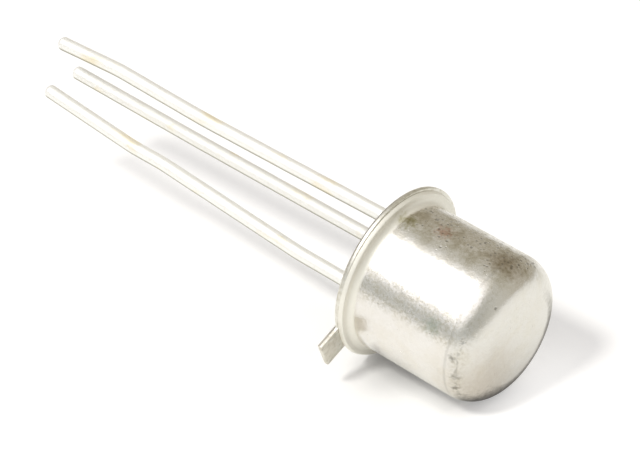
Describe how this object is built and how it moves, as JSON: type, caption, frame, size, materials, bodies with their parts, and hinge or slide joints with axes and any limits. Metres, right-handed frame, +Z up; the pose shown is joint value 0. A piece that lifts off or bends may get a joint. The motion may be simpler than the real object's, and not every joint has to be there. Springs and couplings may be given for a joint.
{
  "type": "metal-can transistor",
  "caption": "Small metal-can transistor: drawn can welded to a stamped flange with an index tab, glass-sealed wire leads, chip and bond wires inside.",
  "frame": {"origin": "middle of the bounding box on the table plane, the part lying on its side as it comes to rest", "axes": "+X along the part from the lead ends to the can's closed end, +Z up from the table"},
  "size_m": [0.0193, 0.0062, 0.0055],
  "materials": {
    "can_metal": "satin nickel plate, a little tarnished",
    "header_metal": "satin plated header sheet, warm tarnish",
    "seal_glass": "fused sealing glass, glossy",
    "tinned_wire": "bright tinned, with uneven yellowish patches",
    "silicon": "polished",
    "gold_solder": "satin",
    "gold_wire": "bright drawn wire"
  },
  "bodies": {
    "root": {"cap": "can_metal", "header": "header_metal", "glass_seal": "seal_glass", "emitter_lead": "tinned_wire", "base_lead": "tinned_wire", "collector_lead": "tinned_wire", "chip": "silicon", "chip_solder": "gold_solder", "emitter_bond_wire": "gold_wire", "base_bond_wire": "gold_wire"}
  },
  "joints": []
}
